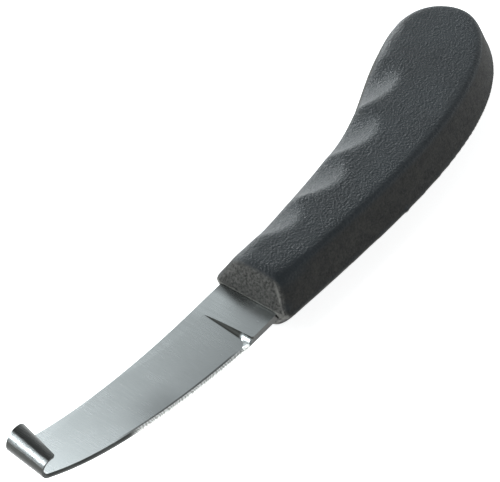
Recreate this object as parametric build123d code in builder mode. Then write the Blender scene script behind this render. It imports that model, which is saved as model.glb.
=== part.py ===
from build123d import *
import math
import os

# Hoof knife, right-handed: a stainless blade whose tip is rolled into a hook, and a black
# plastic handle moulded round its tang.  Millimetres, +Z up, +X towards the hook, +Y towards
# the ground cutting edge.  The knife rests on the flat underside of its handle.

# the knife's datum: the middle of the blade's upper face where it leaves the handle
front_x = 21.88
blade_y = 7.48
parting_z = 9.2

# blade, a flat ricasso and then a gentle bend, given as radius and turn in degrees
blade_width = 18.0
blade_thickness = 2.4
flat_length = 14.0
gentle_radius, gentle_turn = 206.0, 10.6
tip_thickness = 1.4

# tight bend and rolled hook: radius and turn of the bend, inner radius and turn of the hook
spine_hook = (140.0, 11.7, 2.65, 218.0)
edge_hook = (120.0, 15.3, 2.1, 166.0)
hook_thickness = 1.0
lip_corner = 1.1

# grind on the upper face, from the plunge to the hook: the x of the plunge's foot and its
# radius, and the depth of the grind at the plunge and at the end of the gentle bend, at the
# spine and at the edge; a negative depth leaves the face unground
edge_start_x = 10.5
edge_thickness = 0.9
edge_bevel = 0.45
spine_plunge = (11.2, 0.6)
spine_depths = (-0.35, -0.05)
edge_plunge = (11.6, 1.8)
edge_depths = (blade_thickness - edge_thickness, 1.0)

# tang, hidden in the handle
tang_length = 88.0
tang_width = 13.0
tang_end_width = 9.0
tang_corner = 2.5
tang_hole = 5.0
tang_hole_x = (-22.0, -48.0, -74.0)
shoulder_x = -3.5

# handle, symmetrical about the parting plane
half_height = 9.2
front_slope = 14.6
front_corner = 2.6
top_round = 1.2
flash_reach = 0.25
flash_thickness = 0.4
gate_radius = 0.7
gate_x, gate_y = -52.0, 14.6
gate_reach = 0.3

# outline of the handle at the parting plane: x, y, the heading of its outward normal, and how
# far the side has come in at mid_height and at the upper face
mid_height = 5.2
outline_points = (
    (6, 12.5, 88, 2.8, 5.0),
    (-42, 14.6, 90, 2.8, 5.0),
    (-78, 13.3, 95, 2.8, 5.0),
    (-103, 7.8, 111, 2.6, 4.6),
    (-120, -1.8, 134, 2.2, 4.0),
    (-127.4, -14, 176, 2.1, 4.2),
    (-122.0, -25.7, 223, 1.8, 4.0),
    (-111, -29.8, 262, 1.5, 3.6),
    (-97, -27.7, 284, 1.5, 3.0),
    (-64.5, -15.9, 286, 1.3, 2.7),
    (-38, -12.9, 275, 2.3, 4.7),
    (-14, -11.1, 271, 2.2, 4.3),
    (6, -12.3, 268, 2.2, 5.0),
)

# finger scallops along the upper and lower edges of the finger side: x and y of the inner end,
# and the heading they fall in
scallops = (
    (-25.2, -2.0, 290),
    (-47.5, -3.0, 303),
    (-67.7, -6.2, 308),
    (-88.9, -14.2, 318),
)
scallop_radius = 16.0
scallop_fall = 25.0

datum = Plane(origin=(front_x, blade_y, parting_z))
gate = Plane(origin=datum.origin + Vector(gate_x, gate_y + gate_reach, 0), z_dir=(0, -1, 0))
side_view = Plane(origin=datum.origin, x_dir=(1, 0, 0), z_dir=(0, -1, 0))
spine_side = side_view.offset(blade_width / 2 + 0.5)
edge_side = side_view.offset(-blade_width / 2 - 0.5)


def below(line, depth):
    """The point a given depth below the end of a line, square to it."""
    return line @ 1 + (line % 1).rotate(Axis.Z, -90) * depth


def side_profile(tight_radius, tight_turn, hook_radius, hook_turn):
    """The blade seen from the side, from the end of its tang to the lip of its hook."""
    top = Line((-tang_length, 0), (flat_length, 0))
    bend_1 = JernArc(top @ 1, top % 1, gentle_radius, gentle_turn)
    bend_2 = JernArc(bend_1 @ 1, bend_1 % 1, tight_radius, tight_turn)
    roll = JernArc(bend_2 @ 1, bend_2 % 1, hook_radius, hook_turn)
    lip = Line(roll @ 1, below(roll, hook_thickness))
    back = JernArc(lip @ 1, -(roll % 1), hook_radius + hook_thickness, -hook_turn)
    middle = below(bend_1, (blade_thickness + tip_thickness) / 2)
    belly = Spline(back @ 1, middle, (flat_length, -blade_thickness),
                   tangents=(back % 1, (-1, 0)))
    bottom = Line(belly @ 1, (-tang_length, -blade_thickness))
    Line(bottom @ 1, top @ 0)


def grind_profile(tight_radius, tight_turn, plunge, plunge_depth, bend_depth):
    """The space above the ground face, seen from the side, from the plunge to the hook."""
    foot_x, plunge_radius = plunge
    flat = Line((0, 0), (flat_length, 0), mode=Mode.PRIVATE)
    bend_1 = JernArc(flat @ 1, flat % 1, gentle_radius, gentle_turn, mode=Mode.PRIVATE)
    bend_2 = JernArc(bend_1 @ 1, bend_1 % 1, tight_radius, tight_turn, mode=Mode.PRIVATE)
    plunge_top = Vector(foot_x - plunge_radius, plunge_radius - plunge_depth)
    wall = JernArc(plunge_top, (0, -1), plunge_radius, 90)
    floor = Spline(wall @ 1, below(bend_1, bend_depth), bend_2 @ 1,
                   tangents=(wall % 1, bend_2 % 1))
    Polyline(floor @ 1, (60, 14), plunge_top + Vector(0, 30), plunge_top)


with BuildPart() as grind:
    with BuildSketch(spine_side):
        with BuildLine():
            grind_profile(*spine_hook[:2], spine_plunge, *spine_depths)
        make_face()
    with BuildSketch(edge_side):
        with BuildLine():
            grind_profile(*edge_hook[:2], edge_plunge, *edge_depths)
        make_face()
    loft(ruled=True)

with BuildPart() as blade:
    with BuildSketch(spine_side):
        with BuildLine():
            side_profile(*spine_hook)
        make_face()
    with BuildSketch(edge_side):
        with BuildLine():
            side_profile(*edge_hook)
        make_face()
    loft(ruled=True)
    with BuildSketch(datum) as plan:
        with BuildLine():
            half = blade_width / 2
            edge = Spline((edge_start_x, half), (28, 8.0), (55, 6.3), (76, 5.0), (84, 3.9))
            Polyline(edge @ 1, (90, 3.6), (90, -8.5), (0, -half), (shoulder_x, -half),
                     (shoulder_x, -tang_width / 2), (-tang_length, -tang_end_width / 2),
                     (-tang_length, tang_end_width / 2), (shoulder_x, tang_width / 2),
                     (shoulder_x, half), edge @ 0)
        make_face()
        fillet(plan.vertices().sort_by(Axis.X)[:2], radius=tang_corner)
        for x in tang_hole_x:
            with Locations((x, 0)):
                Circle(tang_hole / 2, mode=Mode.SUBTRACT)
    extrude(amount=60, both=True, mode=Mode.INTERSECT)
    add(grind.part, mode=Mode.SUBTRACT)
    ground_edge = datum.origin + Vector(edge_start_x + 5, half, edge_thickness - blade_thickness)
    chamfer(blade.edges().sort_by_distance(ground_edge)[0], length=edge_bevel)
    lip_corners = blade.edges().filter_by(lambda edge: edge.length < 1.2).sort_by(Axis.Z)[-2:]
    fillet(lip_corners, radius=lip_corner)

blade.part.label = "blade"


def handle_outline(level, trim):
    """The handle's outline in plan: 0 at the parting plane, 1 at mid_height, 2 round the top."""
    points = []
    for x, y, heading, mid_inset, top_inset in outline_points:
        inset = (0, mid_inset, top_inset)[level]
        points.append(Vector(x, y) + Vector(-trim - inset, 0).rotate(Axis.Z, heading))
    sides = Spline(*points, tangents=((-1, 0.05), (1, -0.08)))
    Line(sides @ 1, sides @ 0)


with BuildPart() as handle:
    for level, height in enumerate((0, mid_height, half_height)):
        with BuildSketch(datum.offset(height)):
            with BuildLine():
                handle_outline(level, flash_reach)
            make_face()
    loft()
    front = Plane(origin=datum.origin, z_dir=Vector(1, 0, 0).rotate(Axis.Y, -front_slope))
    split(bisect_by=front, keep=Keep.BOTTOM)
    front_face = handle.faces().sort_by(Axis(datum.origin, front.z_dir))[-1]
    uprights = front_face.edges().filter_by(lambda edge: abs((edge % 0.5).Z) > 0.7)
    fillet(uprights, radius=front_corner)
    fillet(handle.faces().sort_by(Axis.Z)[-1].edges(), radius=top_round)
    for x, y, heading in scallops:
        outwards = Vector(1, 0, 0).rotate(Axis.Z, heading)
        fall = math.radians(scallop_fall)
        along = outwards * math.cos(fall) - Vector(0, 0, math.sin(fall))
        normal = outwards * math.sin(fall) + Vector(0, 0, math.cos(fall))
        inner_end = datum.origin + Vector(x, y, half_height)
        with Locations(Plane(origin=inner_end + normal * scallop_radius, z_dir=along)):
            Cylinder(scallop_radius, 80, mode=Mode.SUBTRACT)
    with BuildSketch(datum) as rim:
        with BuildLine():
            handle_outline(0, 0)
        make_face()
        with Locations((-100, 0)):
            Rectangle(200, 100, mode=Mode.INTERSECT)
        fillet(rim.vertices().sort_by(Axis.X)[-2:], radius=front_corner)
    extrude(amount=flash_thickness / 2)
    with BuildSketch(gate):
        Circle(gate_radius)
    extrude(amount=2 * gate_reach)
    split(bisect_by=front, keep=Keep.BOTTOM)
    mirror(about=datum)
    add(blade.part, mode=Mode.SUBTRACT)

handle.part.label = "handle"

os.makedirs("parts", exist_ok=True)
export_step(blade.part, "parts/blade.step")
export_step(handle.part, "parts/handle.step")
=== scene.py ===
import bmesh
import bpy
import numpy as np
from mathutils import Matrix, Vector


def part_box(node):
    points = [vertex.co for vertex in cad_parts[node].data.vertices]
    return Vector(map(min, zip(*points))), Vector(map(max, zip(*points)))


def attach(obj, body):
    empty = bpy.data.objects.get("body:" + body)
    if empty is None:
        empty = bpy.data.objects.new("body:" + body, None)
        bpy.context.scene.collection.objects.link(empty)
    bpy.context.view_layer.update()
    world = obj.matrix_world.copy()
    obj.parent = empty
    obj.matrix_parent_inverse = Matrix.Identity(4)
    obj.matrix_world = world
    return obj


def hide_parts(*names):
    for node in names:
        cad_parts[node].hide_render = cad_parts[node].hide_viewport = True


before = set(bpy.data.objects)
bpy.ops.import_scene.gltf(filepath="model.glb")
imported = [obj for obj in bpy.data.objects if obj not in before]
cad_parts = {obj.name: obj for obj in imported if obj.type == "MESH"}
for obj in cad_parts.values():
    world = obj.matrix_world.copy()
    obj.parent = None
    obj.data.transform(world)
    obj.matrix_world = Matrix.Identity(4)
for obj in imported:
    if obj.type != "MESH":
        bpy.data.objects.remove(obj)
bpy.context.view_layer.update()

# Hoof knife.  Places on it are given in millimetres from the middle of the blade's upper face
# where it leaves the handle: x towards the hook, y towards the cutting edge, z up.
MM = 0.001
HALF_BLADE_WIDTH = 9.0
HANDLE_LOW, HANDLE_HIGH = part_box("handle")
BLADE_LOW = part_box("blade")[0]
FRONT_X = HANDLE_HIGH.x
BLADE_Y = BLADE_LOW.y + HALF_BLADE_WIDTH * MM
PARTING_Z = (HANDLE_LOW.z + HANDLE_HIGH.z) / 2


def x_at(x):
    return FRONT_X + x * MM


def y_at(y):
    return BLADE_Y + y * MM


def z_at(z):
    return PARTING_Z + z * MM


# ---------------------------------------------------------------- colours
# mottled colours, as the darkest and the palest
GRIP_TOP = ((0.0125, 0.0166, 0.0198), (0.0198, 0.0260, 0.0306))
# the sides take a darker copy of the plastic for painted shade, the front a paler copy for painted
# light; each keeps its own mottle
GRIP_SIDE_SHADED = ((0.0045, 0.0050, 0.0050), (0.0260, 0.0250, 0.0215))
GRIP_FRONT_LIT = ((0.020, 0.0197, 0.0182), (0.110, 0.108, 0.101))
# painted reflections: one satin steel, dimmed at the hook, middling at the edge and palest at the
# spine
SATIN_HOOK_DIMMED = ((0.53, 0.56, 0.565), (0.56, 0.59, 0.595))
SATIN_EDGE_MIDLIT = ((0.61, 0.644, 0.649), (0.645, 0.679, 0.684))
SATIN_SPINE_LIT = ((0.80, 0.844, 0.85), (0.835, 0.879, 0.885))
# the edge bevel's painted shade and painted highlight, the latter over grinding marks
BEVEL_SHADE = ((0.05, 0.052, 0.05), (0.12, 0.125, 0.12))
BEVEL_HIGHLIGHT = ((0.58, 0.58, 0.56), (0.93, 0.94, 0.92))

# plain colours
# painted highlight for edges of the grip that catch the light
GRIP_HIGHLIGHT = (0.19, 0.186, 0.173)
# painted shade for a patch of the blade
STEEL_PATCH_SHADE = (0.31, 0.33, 0.335)
# the colour of all painted shade on the steel
STEEL_SHADE = (0.040, 0.0405, 0.0370)
LIGHT = (0.95, 1.0, 1.015)


# ---------------------------------------------------------------- node helpers
class Nodes:
    """A small builder for one node tree."""

    def __init__(self, tree):
        self.tree = tree
        self.tree.nodes.clear()

    def add(self, kind, **values):
        node = self.tree.nodes.new(kind)
        for key, value in values.items():
            setattr(node, key, value)
        return node

    def link(self, a, b):
        self.tree.links.new(a, b)

    def feed(self, socket, value):
        """Gives a socket a number, a colour or another node's output."""
        if isinstance(value, (int, float)):
            socket.default_value = value
        elif isinstance(value, tuple):
            socket.default_value = (*value, 1)
        else:
            self.link(value, socket)

    def coords(self, scale=(1, 1, 1)):
        place = self.add("ShaderNodeTexCoord")
        mapping = self.add("ShaderNodeMapping")
        mapping.inputs["Scale"].default_value = scale
        self.link(place.outputs["Object"], mapping.inputs["Vector"])
        return mapping.outputs["Vector"]

    def split(self, vector):
        node = self.add("ShaderNodeSeparateXYZ")
        self.link(vector, node.inputs["Vector"])
        return node.outputs["X"], node.outputs["Y"], node.outputs["Z"]

    def normal(self):
        return self.split(self.add("ShaderNodeNewGeometry").outputs["Normal"])

    def noise(self, vector, scale, detail, roughness):
        node = self.add("ShaderNodeTexNoise")
        node.inputs["Scale"].default_value = scale
        node.inputs["Detail"].default_value = detail
        node.inputs["Roughness"].default_value = roughness
        self.link(vector, node.inputs["Vector"])
        return node.outputs["Fac"]

    def cells(self, vector, scale, smoothness):
        node = self.add("ShaderNodeTexVoronoi", feature="SMOOTH_F1")
        node.inputs["Scale"].default_value = scale
        node.inputs["Smoothness"].default_value = smoothness
        self.link(vector, node.inputs["Vector"])
        return node.outputs["Distance"]

    def teeth(self, vector, scale, distortion, detail):
        node = self.add("ShaderNodeTexWave", wave_type="BANDS", bands_direction="X")
        node.inputs["Scale"].default_value = scale
        node.inputs["Distortion"].default_value = distortion
        node.inputs["Detail"].default_value = detail
        self.link(vector, node.inputs["Vector"])
        return node.outputs["Fac"]

    def ramp(self, value, stops):
        node = self.add("ShaderNodeValToRGB")
        elements = node.color_ramp.elements
        while len(elements) < len(stops):
            elements.new(0.5)
        for element, (position, colour) in zip(elements, stops):
            element.position = position
            element.color = (*colour, 1)
        self.link(value, node.inputs["Fac"])
        return node.outputs["Color"]

    def mottle(self, value, colours, low=0.3, high=0.7):
        """The darker colour at low, the paler one at high."""
        return self.ramp(value, ((low, colours[0]), (high, colours[1])))

    def math(self, operation, *values):
        node = self.add("ShaderNodeMath", operation=operation)
        for socket, value in zip(node.inputs, values):
            self.feed(socket, value)
        return node.outputs[0]

    def fold(self, operation, first, *others):
        for other in others:
            first = self.math(operation, first, other)
        return first

    def total(self, *values):
        return self.fold("ADD", *values)

    def product(self, *values):
        return self.fold("MULTIPLY", *values)

    def most(self, *values):
        return self.fold("MAXIMUM", *values)

    def blend(self, share, a, b):
        node = self.add("ShaderNodeMix", data_type="FLOAT")
        for index, value in ((0, share), (2, a), (3, b)):
            self.feed(node.inputs[index], value)
        return node.outputs[0]

    def blend_colour(self, share, a, b):
        node = self.add("ShaderNodeMix", data_type="RGBA")
        for index, value in ((0, share), (6, a), (7, b)):
            self.feed(node.inputs[index], value)
        return node.outputs[2]

    def bump(self, height, strength, distance, normal=None):
        node = self.add("ShaderNodeBump")
        node.inputs["Strength"].default_value = strength
        node.inputs["Distance"].default_value = distance
        self.link(height, node.inputs["Height"])
        if normal is not None:
            self.link(normal, node.inputs["Normal"])
        return node.outputs["Normal"]

    def remap(self, value, low, high, to_low=0.0, to_high=1.0, kind="LINEAR"):
        node = self.add("ShaderNodeMapRange", interpolation_type=kind)
        for name, number in (("From Min", low), ("From Max", high),
                             ("To Min", to_low), ("To Max", to_high)):
            node.inputs[name].default_value = number
        self.link(value, node.inputs["Value"])
        return node.outputs["Result"]

    def ease(self, value, low, high, to_low=0.0, to_high=1.0):
        """As remap, with a gentle start and end."""
        return self.remap(value, low, high, to_low, to_high, "SMOOTHSTEP")


class Material(Nodes):
    """The node tree of one material with a single principled shader."""

    def __init__(self, name):
        self.material = bpy.data.materials.new(name)
        self.material.use_nodes = True
        super().__init__(self.material.node_tree)
        out = self.add("ShaderNodeOutputMaterial")
        shader = self.add("ShaderNodeBsdfPrincipled")
        self.link(shader.outputs["BSDF"], out.inputs["Surface"])
        self.inputs = shader.inputs

    def give_to(self, piece):
        piece.data.materials.clear()
        piece.data.materials.append(self.material)


# ---------------------------------------------------------------- grip
def grip_material():
    """Black moulded plastic: leather grain on the flats, coarser pits on steep faces."""
    n = Material("grip")
    place = n.coords()
    x, _, z = n.split(place)
    facing_x, facing_y, facing_z = n.normal()
    flatness = n.ease(n.math("ABSOLUTE", facing_z), 0.45, 0.75)
    front = n.ease(facing_x, 0.35, 0.80)

    grain = n.cells(place, 1500, 0.2)
    fine = n.noise(place, 1700, 3, 0.7)
    pits = n.noise(place, 1500, 4, 0.7)
    leather = n.total(grain, n.product(fine, 1.5))
    relief = n.blend(flatness, n.product(pits, 1.8), leather)
    relief = n.blend(front, relief, n.product(pits, 4.0))
    n.link(n.bump(relief, 1.0, 0.14 * MM), n.inputs["Normal"])

    top = n.mottle(n.noise(place, 60, 3, 0.5), GRIP_TOP)
    scuffs = n.total(n.product(pits, 0.5), n.product(n.noise(place, 320, 4, 0.7), 0.5))
    # painted shade on the sides and painted light on the front, over their own mottle and pits
    side = n.mottle(scuffs, GRIP_SIDE_SHADED, 0.38, 0.60)
    pitted = n.mottle(pits, GRIP_FRONT_LIT, 0.37, 0.63)
    skin = n.blend_colour(front, n.blend_colour(flatness, side, top), pitted)
    # painted highlights on the front's corner, the lip and the seam, broken up by the pits
    highlighted = n.product(highlight_places(n, x, z, facing_x, facing_y), n.remap(pits, 0.3, 0.6, 0.5, 1.0))
    n.link(n.blend_colour(highlighted, skin, GRIP_HIGHLIGHT), n.inputs["Base Color"])

    roughness = n.remap(fine, 0.3, 0.7, 0.42, 0.60)
    n.link(n.blend(flatness, n.total(roughness, 0.2), roughness), n.inputs["Roughness"])
    n.inputs["Specular IOR Level"].default_value = 0.34
    return n


def highlight_places(n, x, z, facing_x, facing_y):
    """Painted highlights on the front's corner towards the cutting edge, on the lip just above the
    blade and along the seam.
    """
    corner = n.product(n.ease(facing_x, 0.65, 0.80), n.ease(facing_y, 0.25, 0.40),
                       n.remap(x, x_at(-4), x_at(-3)))
    off_parting = n.math("ABSOLUTE", n.math("SUBTRACT", z, PARTING_Z))
    lip = n.product(n.remap(off_parting, 0.9 * MM, 0.5 * MM), n.remap(x, x_at(-1.6), x_at(-1)))
    seam = n.remap(off_parting, 0.5 * MM, 0.25 * MM, 0, 0.35)
    return n.most(corner, lip, seam)


# ---------------------------------------------------------------- steel
# the cutting edge runs almost straight: its y at x = 0, and how much y it loses along x
EDGE_Y = 9.62
EDGE_SLOPE = 0.0608

# the middle of the radius on which the ground face turns up between the plunge and the edge,
# where that turn begins and is complete, and its strength
TURN_X, TURN_Y = 14.2, 5.6
TURN_REACH = (2.6, 3.1)
TURN_STRENGTH = 0.8 / 3


def satin_painted_reflections(n, x, y, facing_y, lines):
    """Brushed steel with painted reflections: palest at the spine, darker towards the hook and on
    the unground flats, with a patch of painted shade.
    """
    ground = n.remap(x, x_at(74), x_at(35))
    # painted shade on the unground flats near the handle
    shaded_unground = n.product(n.ease(facing_y, 0.045, 0.015), n.remap(x, x_at(50), x_at(30), 0, 0.38),
                         n.remap(x, x_at(10), x_at(14), 0.2, 1))
    ground = n.math("SUBTRACT", ground, n.product(ground, shaded_unground))
    lit_towards_spine = n.remap(y, y_at(7), y_at(-8))
    face = n.blend_colour(lit_towards_spine, n.mottle(lines, SATIN_EDGE_MIDLIT), n.mottle(lines, SATIN_SPINE_LIT))
    satin = n.blend_colour(ground, n.mottle(lines, SATIN_HOOK_DIMMED), face)
    # a patch of painted shade in the middle of the blade, towards the edge
    patch = n.product(n.ease(x, x_at(32), x_at(42)), n.ease(x, x_at(57), x_at(44)),
                      n.ease(y, y_at(-3), y_at(7), 0, 0.55))
    return n.blend_colour(patch, satin, STEEL_PATCH_SHADE)


def hook_shade(n, hook, x, z, facing_x, facing_z):
    """Painted shade on the hook's roll where it is steep or undercut, and on its top where that
    isn't forward.
    """
    under = n.most(n.ease(facing_z, 0.68, 0.46, 0, 0.97), n.ease(facing_z, 0.10, -0.1))
    under = n.product(under, n.ease(facing_z, -0.85, -0.65), hook)
    over = n.product(n.remap(z, z_at(14.2), z_at(15.0)), n.ease(facing_x, 0.40, 0.22, 0, 0.92),
                     n.remap(x, x_at(73), x_at(75)))
    return n.most(under, over)


def painted_plunge_shade(n, x, y, facing_x):
    """Painted shade on the plunge, all but its bright corner at the cutting edge."""
    return n.product(n.ease(facing_x, 0.10, 0.25), n.remap(x, x_at(14), x_at(13)),
                     n.ease(y, y_at(7.0), y_at(5.2), 0, 0.98))


def edge_shade_line(n, x, y):
    """A thin line of painted shade just inside the bevel of the cutting edge."""
    from_edge = n.math("SUBTRACT", n.total(y, n.product(x, EDGE_SLOPE)),
                       y_at(EDGE_Y) + FRONT_X * EDGE_SLOPE)
    return n.product(n.remap(from_edge, -0.95 * MM, -0.75 * MM, 0, 0.7),
                     n.remap(x, x_at(15), x_at(18)), n.remap(x, x_at(60), x_at(54)))


def handle_shadow(n, x, y):
    """A painted shadow of the handle, on the blade close to it, on the spine's side."""
    return n.product(n.remap(x, x_at(3.6), x_at(1.2), 0, 0.6), n.ease(y, y_at(4), y_at(-2)))


def turned_up(n, x, y, normal):
    """Leans the normal where the ground face turns up between the plunge and the edge."""
    aside_x = n.most(n.math("SUBTRACT", x_at(TURN_X), x), 0)
    aside_y = n.math("MINIMUM", n.math("SUBTRACT", y_at(TURN_Y), y), 0)
    aside = n.math("SQRT", n.total(n.product(aside_x, aside_x), n.product(aside_y, aside_y)))
    start, full = TURN_REACH
    turn = n.product(n.ease(aside, start * MM, full * MM), n.ease(x, x_at(10.6), x_at(11.2)),
                     n.ease(y, y_at(6), y_at(7.2), 0, TURN_STRENGTH / MM))
    lean = n.add("ShaderNodeCombineXYZ")
    n.link(n.product(aside_x, turn), lean.inputs["X"])
    n.link(n.product(aside_y, turn), lean.inputs["Y"])
    leaning = n.add("ShaderNodeVectorMath", operation="ADD")
    n.link(normal, leaning.inputs[0])
    n.link(lean.outputs["Vector"], leaning.inputs[1])
    unit = n.add("ShaderNodeVectorMath", operation="NORMALIZE")
    n.link(leaning.outputs["Vector"], unit.inputs[0])
    return unit.outputs["Vector"]


def steel_material():
    """Satin stainless steel, brushed across the blade, with painted shade on its steep blanked
    edges and in other places.
    """
    n = Material("steel")
    place = n.coords()
    x, y, z = n.split(place)
    facing_x, facing_y, facing_z = n.normal()
    lines = n.noise(n.coords(scale=(1, 0.04, 1)), 3200, 4, 0.6)
    cross = n.noise(n.coords(scale=(0.04, 1, 1)), 2500, 3, 0.6)
    cloud = n.noise(place, 90, 4, 0.6)
    teeth = n.teeth(place, 330, 14, 3)

    # painted shade on the steep blanked edges
    steep = n.ease(n.math("ABSOLUTE", facing_z), 0.60, 0.30)
    hook = n.ease(x, x_at(76), x_at(79))
    plunge_shade = painted_plunge_shade(n, x, y, facing_x)
    # painted shade: the hook's roll, the handle's shadow, the plunge, a line inside the edge
    # bevel, the steep edges
    dark = n.most(hook_shade(n, hook, x, z, facing_x, facing_z), handle_shadow(n, x, y), plunge_shade,
                  edge_shade_line(n, x, y), n.product(steep, 0.98))
    body = n.blend_colour(dark, satin_painted_reflections(n, x, y, facing_y, lines), STEEL_SHADE)

    # the fine bevel of the cutting edge: freshly ground near the handle, with a painted highlight
    # there, and painted shade towards the hook
    bevel = n.product(n.ease(facing_y, 0.35, 0.5), n.remap(x, x_at(10.8), x_at(11.6)))
    highlit = n.ease(x, x_at(56), x_at(50))
    bevel_colour = n.blend_colour(highlit, n.mottle(cloud, BEVEL_SHADE),
                                  n.mottle(teeth, BEVEL_HIGHLIGHT, 0.25, 0.6))
    n.link(n.blend_colour(bevel, body, bevel_colour), n.inputs["Base Color"])
    n.inputs["Metallic"].default_value = 1.0

    brushed = n.total(n.remap(lines, 0.3, 0.7, 0.19, 0.25), n.remap(cloud, 0.3, 0.7, 0.0, 0.06))
    roughness = n.blend(hook, brushed, n.remap(lines, 0.3, 0.7, 0.24, 0.30))
    roughness = n.blend(plunge_shade, roughness, n.remap(cloud, 0.3, 0.7, 0.55, 0.65))
    roughness = n.blend(bevel, roughness, n.remap(cloud, 0.3, 0.7, 0.5, 0.65))
    n.link(roughness, n.inputs["Roughness"])

    normal = n.bump(n.total(lines, n.product(cross, 0.3)), 0.008, 0.01 * MM)
    normal = n.bump(n.product(teeth, n.product(bevel, highlit)), 0.2, 0.04 * MM, normal)
    n.link(turned_up(n, x, y, normal), n.inputs["Normal"])
    return n


# ---------------------------------------------------------------- handle
VOXEL = 0.4
WELD = 0.001

# corners of the handle's front, brought in to a radius: the y and height of its middle, the
# radius, and the slant above which it applies; and the x between which it fades in
FRONT_CORNERS = ((-3.46, 2.2, 7.0, 0.42), (4.84, 4.7, 4.5, 0.55))
CORNER_FADE = (-18, -4)

# the finger side is softened up to this line, given as x and y, and less and less beyond it
FINGER_LINE = ((4, 3.0), (-30, 3.0), (-48, 1.0), (-59, -1.5), (-70, -5.0), (-81, -9.0),
               (-93, -13.0), (-104, -22.0), (-110, -34.0))
FINGER_FADE = 4

# heights between which softening sets in, so that the seam stays crisp
SEAM_FADE = (1.2, 3.5)


def relax(mesh, weights, rounds):
    """Moves each vertex up to half of the way to the mean of its neighbours, by its weight."""
    count = len(mesh.vertices)
    co = np.zeros(count * 3)
    mesh.vertices.foreach_get("co", co)
    co = co.reshape(-1, 3)
    ends = np.zeros(len(mesh.edges) * 2, int)
    mesh.edges.foreach_get("vertices", ends)
    a, b = ends[0::2], ends[1::2]
    both, other = np.concatenate((a, b)), np.concatenate((b, a))
    valence = np.bincount(both, minlength=count)
    for _ in range(rounds):
        mean = np.stack([np.bincount(both, co[other, axis], count) for axis in range(3)], 1)
        co += 0.5 * weights[:, None] * (mean / valence[:, None] - co)
    mesh.vertices.foreach_set("co", co.ravel())
    mesh.update()


def step(value, low, high):
    """0 below low, 1 above high, smooth between."""
    t = np.clip((value - low) / (high - low), 0, 1)
    return t * t * (3 - 2 * t)


def rounded(x, y, z, middle_y, middle_z, radius, slant):
    """Brings a front corner in to a radius, up to where the side's slant meets it."""
    outward = 1 if middle_y > 0 else -1
    across = (y - middle_y) * outward
    up = np.abs(z) - middle_z
    reach = np.hypot(across, up)
    beyond = (across > 0) & (up > slant * across) & (reach > radius)
    share = np.where(beyond, step(x, *CORNER_FADE), 0)
    scale = 1 + share * (radius / np.maximum(reach, radius) - 1)
    new_y = np.where(beyond, middle_y + outward * across * scale, y)
    new_z = np.where(beyond, np.sign(z) * (middle_z + up * scale), z)
    return new_y, new_z


def even_copy(piece, name):
    """A copy of a CAD piece on an even fine mesh."""
    mesh = piece.data.copy()
    welder = bmesh.new()
    welder.from_mesh(mesh)
    bmesh.ops.remove_doubles(welder, verts=welder.verts, dist=WELD * MM)
    welder.to_mesh(mesh)
    welder.free()
    copy = bpy.data.objects.new(name, mesh)
    bpy.context.scene.collection.objects.link(copy)
    remesh = copy.modifiers.new("even", "REMESH")
    remesh.mode = "VOXEL"
    remesh.voxel_size = VOXEL * MM
    remesh.use_smooth_shade = True
    graph = bpy.context.evaluated_depsgraph_get()
    even = bpy.data.meshes.new_from_object(copy.evaluated_get(graph))
    copy.modifiers.clear()
    copy.data = even
    return copy


def moulding():
    """The handle again, with its finger side, far edge and front corners softened."""
    copy = even_copy(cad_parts["handle"], "handle_moulding")
    mesh = copy.data
    co = np.zeros(len(mesh.vertices) * 3)
    mesh.vertices.foreach_get("co", co)
    datum = np.array((FRONT_X, BLADE_Y, PARTING_Z))
    x, y, z = ((co.reshape(-1, 3) - datum) / MM).T
    for corner in FRONT_CORNERS:
        y, z = rounded(x, y, z, *corner)
    mesh.vertices.foreach_set("co", (np.stack((x, y, z), 1) * MM + datum).ravel())
    line_x, line_y = np.array(FINGER_LINE[::-1]).T
    finger = 1 - step(y - np.interp(x, line_x, line_y), 0, FINGER_FADE)
    off_seam = step(np.abs(z), *SEAM_FADE)
    butt = step(-x, 84, 94)
    front = step(x, -8, -3)
    for weights, rounds in ((np.ones(len(x)), 5), (off_seam, 6), (off_seam * (1 - finger), 25),
                            (finger * off_seam * butt, 70), (finger * off_seam, 28),
                            (front * off_seam, 70)):
        relax(mesh, weights, rounds)
    mesh.polygons.foreach_set("use_smooth", [True] * len(mesh.polygons))
    return copy


grip = grip_material()
steel = steel_material()
steel.give_to(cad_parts["blade"])

grip_piece = moulding()
grip.give_to(grip_piece)
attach(grip_piece, "root")
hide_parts("handle")

# ---------------------------------------------------------------- floor
FLOOR_REACH = 6.0
floor_mesh = bpy.data.meshes.new("floor")
floor_mesh.from_pydata([(-FLOOR_REACH, -FLOOR_REACH, 0), (FLOOR_REACH, -FLOOR_REACH, 0),
                        (FLOOR_REACH, FLOOR_REACH, 0), (-FLOOR_REACH, FLOOR_REACH, 0)],
                       [], [(0, 1, 2, 3)])
floor = bpy.data.objects.new("floor", floor_mesh)
bpy.context.scene.collection.objects.link(floor)
pale = Material("pale_floor")
pale.inputs["Base Color"].default_value = (0.9, 0.9, 0.9, 1)
pale.inputs["Roughness"].default_value = 0.9
pale.inputs["Emission Color"].default_value = (1, 1, 1, 1)
pale.inputs["Emission Strength"].default_value = 0.85
pale.give_to(floor)

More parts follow.
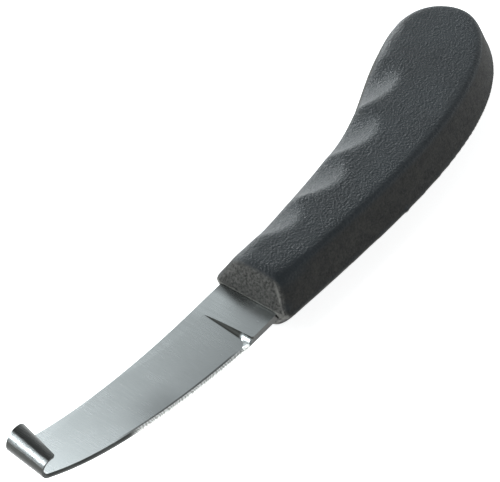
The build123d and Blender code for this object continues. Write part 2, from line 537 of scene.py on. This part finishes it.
# ---------------------------------------------------------------- light
# a white backdrop low behind the butt, dimmer above it and dim on the camera's side: its
# levels by height, its levels from the camera's side to behind the butt, and its strength
SKY_BY_HEIGHT = ((0.0, 0.8), (0.16, 0.8), (0.35, 0.52), (0.7, 0.25), (1.0, 0.2))
SKY_BY_SIDE = ((0.0, 0.22), (0.45, 0.32), (0.8, 1.0))
SKY_SIDE_X, SKY_SIDE_Y = -0.42, -0.28
SKY_STRENGTH = 1.71


def grey(levels):
    return [(position, (level, level, level)) for position, level in levels]


world = bpy.data.worlds.new("studio")
bpy.context.scene.world = world
world.use_nodes = True
sky = Nodes(world.node_tree)
sky_out = sky.add("ShaderNodeOutputWorld")
backdrop = sky.add("ShaderNodeBackground")
sky.link(backdrop.outputs["Background"], sky_out.inputs["Surface"])
sky_x, sky_y, sky_z = sky.split(sky.add("ShaderNodeTexCoord").outputs["Generated"])
beside = sky.total(sky.product(sky_x, SKY_SIDE_X), sky.product(sky_y, SKY_SIDE_Y), 0.5)
sky.link(sky.product(sky.ramp(sky_z, grey(SKY_BY_HEIGHT)), sky.ramp(beside, grey(SKY_BY_SIDE)),
                     SKY_STRENGTH), backdrop.inputs["Strength"])
sky.feed(backdrop.inputs["Color"], LIGHT)


def aim(thing, place, direction):
    """Puts a lamp or a camera at a place, looking in a direction."""
    thing.location = place
    thing.rotation_euler = direction.to_track_quat("-Z", "Y").to_euler()
    bpy.context.scene.collection.objects.link(thing)


def area_light(name, place, target, size, power):
    data = bpy.data.lights.new(name, "AREA")
    data.shape = "RECTANGLE"
    data.size, data.size_y = size
    data.energy = power
    data.color = LIGHT
    aim(bpy.data.objects.new(name, data), place, Vector(target) - Vector(place))


area_light("key", (0.78, -0.48, 0.90), (0, 0, 0), (0.5, 0.9), 12)
area_light("backlight", (-0.58, -1.05, 0.27), (-0.02, 0, 0), (0.8, 0.2), 11)

# ---------------------------------------------------------------- camera
LOOK = Vector((x_at(-17.21), y_at(-12.28), z_at(0)))
AWAY = Vector((0.5628, 0.4242, 0.7094)).normalized()
CAMERA_DISTANCE = 0.56
camera_data = bpy.data.cameras.new("camera")
camera_data.lens = 152.5
camera_data.sensor_width = 36
camera = bpy.data.objects.new("camera", camera_data)
aim(camera, LOOK + AWAY * CAMERA_DISTANCE, -AWAY)
bpy.context.scene.camera = camera
bpy.context.scene.view_settings.view_transform = "Standard"
